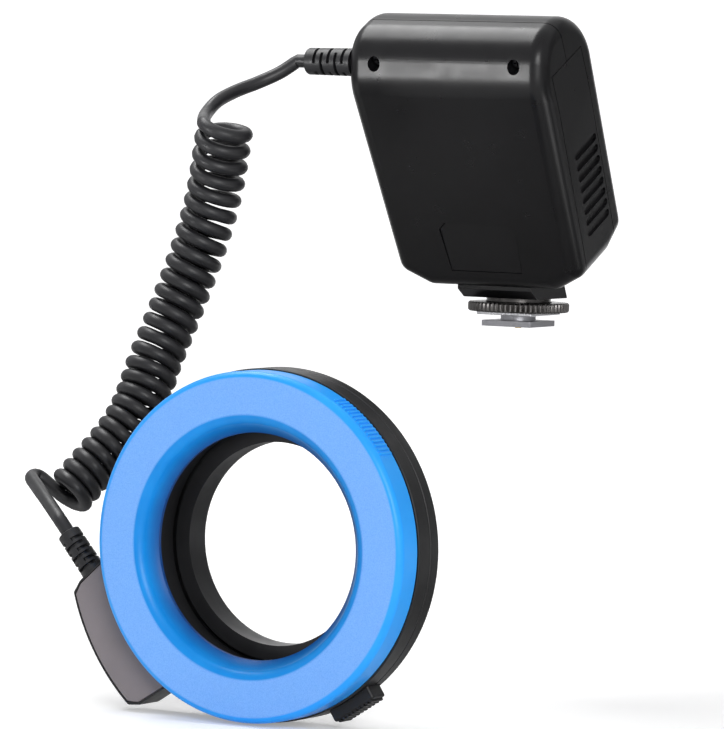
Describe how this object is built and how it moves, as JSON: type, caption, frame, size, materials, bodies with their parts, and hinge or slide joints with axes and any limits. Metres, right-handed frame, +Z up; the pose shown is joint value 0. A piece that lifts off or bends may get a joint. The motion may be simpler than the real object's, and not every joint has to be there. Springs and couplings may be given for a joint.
{
  "type": "macro ring flash",
  "caption": "Ring-shaped macro flash head with a blue push-on diffuser and a screw-in lens adapter, joined by a curly cord to a battery control unit on a clamping hot-shoe foot.",
  "frame": {"origin": "under the middle of the hot-shoe foot", "axes": "+Z is up, the ring faces -Y and +X is on the right for someone who faces the front of the ring"},
  "size_m": [0.1656, 0.1952, 0.2248],
  "materials": {
    "casing": "satin black moulded plastic",
    "dark_panel": "fine matt black plastic",
    "key": "dark grey rubberised plastic",
    "steel": "bright steel",
    "black_steel": "blackened steel",
    "cell_sleeve": "printed foil, left plain",
    "board": "green circuit board",
    "white_board": "white circuit board",
    "lamp_lens": "clear lamp body with pale phosphor",
    "clear": "clear plastic",
    "display": "grey-green display glass",
    "ready_light": "red lens",
    "wheel_metal": "dark anodised, bright on the knurls",
    "foot_metal": "plain metal",
    "contact": "bright brass",
    "cord_rubber": "satin black",
    "blue_diffuser": "translucent blue, frosted on its front face",
    "grey_face": "fine-grained dark grey",
    "adapter_metal": "black anodised"
  },
  "bodies": {
    "flash": {"front_shell": "casing", "rear_shell": "casing", "front_panel": "dark_panel", "control_panel": "dark_panel", "shell_screws": "black_steel", "battery_tray": "dark_panel", "battery_springs": "steel", "aa_cells": "cell_sleeve", "main_board": "board", "board_screws": "steel", "button_switches": "dark_panel", "lcd_module": "display", "lcd_window": "clear", "indicator_lamp": "ready_light", "base_block": "casing", "base_screws": "steel", "foot_stem": "wheel_metal", "shoe_foot": "foot_metal", "foot_screws": "steel", "pin_spring": "steel", "upper_strain_relief": "cord_rubber", "curly_cord": "cord_rubber", "lower_strain_relief": "cord_rubber", "front_housing": "casing", "rear_cover": "casing", "rear_cover_screws": "black_steel", "led_board": "white_board", "leds": "lamp_lens", "clear_window": "clear", "connector_block": "casing", "block_face": "grey_face", "block_screws": "black_steel", "button_springs": "steel"},
    "door": {"battery_door": "casing", "door_contacts": "steel"},
    "mode_key": {"mode_button": "key"},
    "plus_key": {"plus_button": "key"},
    "minus_key": {"minus_button": "key"},
    "power_key": {"power_button": "key"},
    "test_key": {"test_button": "key"},
    "clamp": {"clamp_plate": "steel"},
    "wheel": {"lock_wheel": "wheel_metal"},
    "pin": {"trigger_pin": "contact"},
    "latch": {"latch_plate": "steel", "release_button": "casing"},
    "diffuser": {"colour_diffuser": "blue_diffuser"},
    "adapter": {"adapter_ring": "adapter_metal"}
  },
  "joints": [
    {"name": "door_slide", "type": "slide", "parent": "flash", "child": "door", "axis": [-0.0301, 0.4615, -0.8866], "range_m": [0, 0.055]},
    {"name": "mode_press", "type": "slide", "parent": "flash", "child": "mode_key", "axis": [0, -0.887, -0.4617], "range_m": [0, 0.0008], "stiffness_N_per_m": 600, "springref_m": -0.0005},
    {"name": "plus_press", "type": "slide", "parent": "flash", "child": "plus_key", "axis": [0, -0.887, -0.4617], "range_m": [0, 0.0008], "stiffness_N_per_m": 600, "springref_m": -0.0005},
    {"name": "minus_press", "type": "slide", "parent": "flash", "child": "minus_key", "axis": [0, -0.887, -0.4617], "range_m": [0, 0.0008], "stiffness_N_per_m": 600, "springref_m": -0.0005},
    {"name": "power_press", "type": "slide", "parent": "flash", "child": "power_key", "axis": [0, -0.887, -0.4617], "range_m": [0, 0.0008], "stiffness_N_per_m": 600, "springref_m": -0.0005},
    {"name": "test_press", "type": "slide", "parent": "flash", "child": "test_key", "axis": [0, -0.887, -0.4617], "range_m": [0, 0.0008], "stiffness_N_per_m": 600, "springref_m": -0.0005},
    {"name": "clamp_lift", "type": "slide", "parent": "flash", "child": "clamp", "axis": [0, 0, 1], "range_m": [0, 0.001]},
    {"name": "wheel_turn", "type": "hinge", "parent": "clamp", "child": "wheel", "pos_m": [0, 0, 0.0065], "axis": [0, 0, 1], "range_deg": [0, 300]},
    {"name": "pin_press", "type": "slide", "parent": "flash", "child": "pin", "axis": [0, 0, 1], "range_m": [0, 0.0006], "stiffness_N_per_m": 800, "springref_m": -0.0006, "deforming": ["pin_spring"]},
    {"name": "release_press", "type": "slide", "parent": "flash", "child": "latch", "axis": [-0.5446, 0, 0.8387], "range_m": [0, 0.0016], "stiffness_N_per_m": 900, "springref_m": -0.001, "deforming": ["button_springs"]},
    {"name": "diffuser_pull", "type": "slide", "parent": "flash", "child": "diffuser", "axis": [0, -1, 0], "range_m": [0, 0.015]},
    {"name": "adapter_turn", "type": "hinge", "parent": "flash", "child": "adapter", "pos_m": [0, -0.156, -0.064], "axis": [0, 1, 0], "continuous": true}
  ],
  "couplings": [
    {"joint": "wheel_turn", "follows": "clamp_lift", "rad_per_m": 5200}
  ]
}
